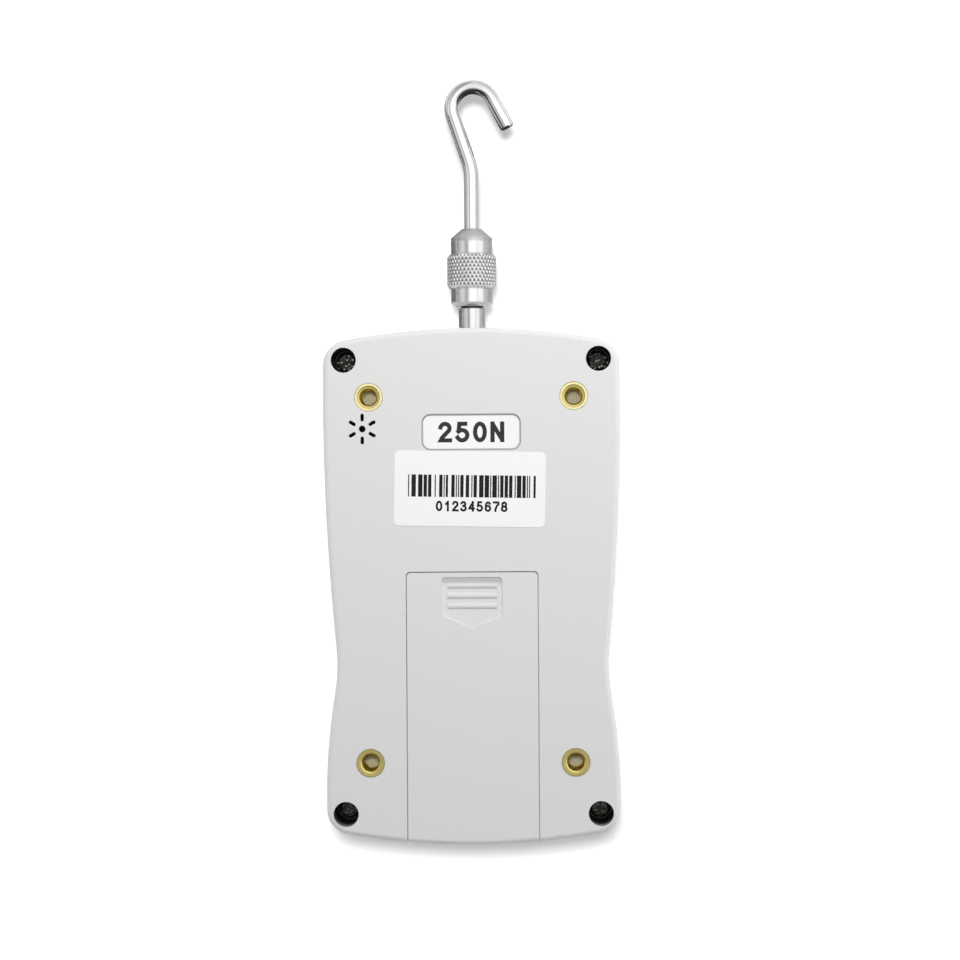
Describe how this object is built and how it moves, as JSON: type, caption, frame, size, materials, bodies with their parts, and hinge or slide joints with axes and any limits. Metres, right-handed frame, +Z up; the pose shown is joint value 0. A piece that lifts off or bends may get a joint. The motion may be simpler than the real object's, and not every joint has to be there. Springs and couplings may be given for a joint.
{
  "type": "force gauge",
  "caption": "Handheld digital force gauge with a waisted two-part case, a sliding battery door, a display, keys, and a hook held by a knurled nut on the measuring shaft.",
  "frame": {"origin": "centre of the gauge's whole outline, on the plane that its front rim rests on", "axes": "+Y toward the hook, +X to the right seen from the back, +Z up out of the back"},
  "size_m": [0.0804, 0.2096, 0.0361],
  "materials": {
    "case_plastic": "satin",
    "panel_film": "satin",
    "inner_plastic": "matte",
    "key_rubber": "matte",
    "label_film": "satin",
    "screw_steel": "satin",
    "insert_brass": "satin",
    "window_clear": "gloss",
    "lcd_panel": "satin",
    "circuit_board": "satin",
    "chip_black": "matte",
    "nickel_plate": "satin",
    "cell_aluminium": "satin",
    "bracket_steel": "satin",
    "battery_can": "gloss",
    "lead_sleeve": "matte",
    "shaft_steel": "satin",
    "nut_steel": "satin",
    "hook_chrome": "polished"
  },
  "bodies": {
    "root": {"front_case": "case_plastic", "rear_case": "case_plastic", "case_screws": "screw_steel", "mount_inserts": "insert_brass", "rating_label": "label_film", "serial_label": "label_film", "front_overlay": "panel_film", "display_window": "window_clear", "lcd_glass": "lcd_panel", "lcd_frame": "inner_plastic", "main_board": "circuit_board", "circuit_chips": "chip_black", "board_screws": "screw_steel", "key_switches": "chip_black", "buzzer": "chip_black", "dc_jack": "chip_black", "data_port": "nickel_plate", "load_cell": "cell_aluminium", "cell_bracket": "bracket_steel", "anchor_bolt": "screw_steel", "bracket_screws": "screw_steel", "battery_cells": "battery_can", "battery_springs": "nickel_plate", "battery_contacts": "nickel_plate", "sensor_lead": "lead_sleeve", "battery_leads": "lead_sleeve"},
    "load_shaft": {"load_shaft": "shaft_steel", "shaft_jam_nut": "shaft_steel"},
    "hook": {"hook": "hook_chrome"},
    "coupling_nut": {"coupling_nut": "nut_steel"},
    "battery_door": {"battery_door": "case_plastic"},
    "key_light": {"key_light": "key_rubber"},
    "key_store": {"key_store": "key_rubber"},
    "key_unit": {"key_unit": "key_rubber"},
    "key_peak": {"key_peak": "key_rubber"},
    "key_zero": {"key_zero": "key_rubber"},
    "key_power": {"key_power": "key_rubber"}
  },
  "joints": [
    {"name": "load_travel", "type": "slide", "parent": "root", "child": "load_shaft", "axis": [0, 1, 0], "range_m": [-0.00025, 0.00025], "stiffness_N_per_m": 400000, "deforming": ["load_cell"]},
    {"name": "hook_rise", "type": "slide", "parent": "load_shaft", "child": "hook", "axis": [0, 1, 0], "range_m": [0, 0.006]},
    {"name": "nut_turn", "type": "hinge", "parent": "hook", "child": "coupling_nut", "pos_m": [0, 0.05216, 0.0185], "axis": [0, 1, 0], "range_deg": [0, 2160]},
    {"name": "battery_door_slide", "type": "slide", "parent": "root", "child": "battery_door", "axis": [0, -1, 0], "range_m": [0, 0.075]},
    {"name": "key_light_press", "type": "slide", "parent": "root", "child": "key_light", "axis": [0, 0, 1], "range_m": [0, 0.0005], "stiffness_N_per_m": 3000},
    {"name": "key_store_press", "type": "slide", "parent": "root", "child": "key_store", "axis": [0, 0, 1], "range_m": [0, 0.0005], "stiffness_N_per_m": 3000},
    {"name": "key_unit_press", "type": "slide", "parent": "root", "child": "key_unit", "axis": [0, 0, 1], "range_m": [0, 0.0005], "stiffness_N_per_m": 3000},
    {"name": "key_peak_press", "type": "slide", "parent": "root", "child": "key_peak", "axis": [0, 0, 1], "range_m": [0, 0.0005], "stiffness_N_per_m": 3000},
    {"name": "key_zero_press", "type": "slide", "parent": "root", "child": "key_zero", "axis": [0, 0, 1], "range_m": [0, 0.0005], "stiffness_N_per_m": 3000},
    {"name": "key_power_press", "type": "slide", "parent": "root", "child": "key_power", "axis": [0, 0, 1], "range_m": [0, 0.0005], "stiffness_N_per_m": 3000}
  ],
  "couplings": [
    {"joint": "nut_turn", "follows": "hook_rise", "rad_per_m": 6283.2}
  ]
}
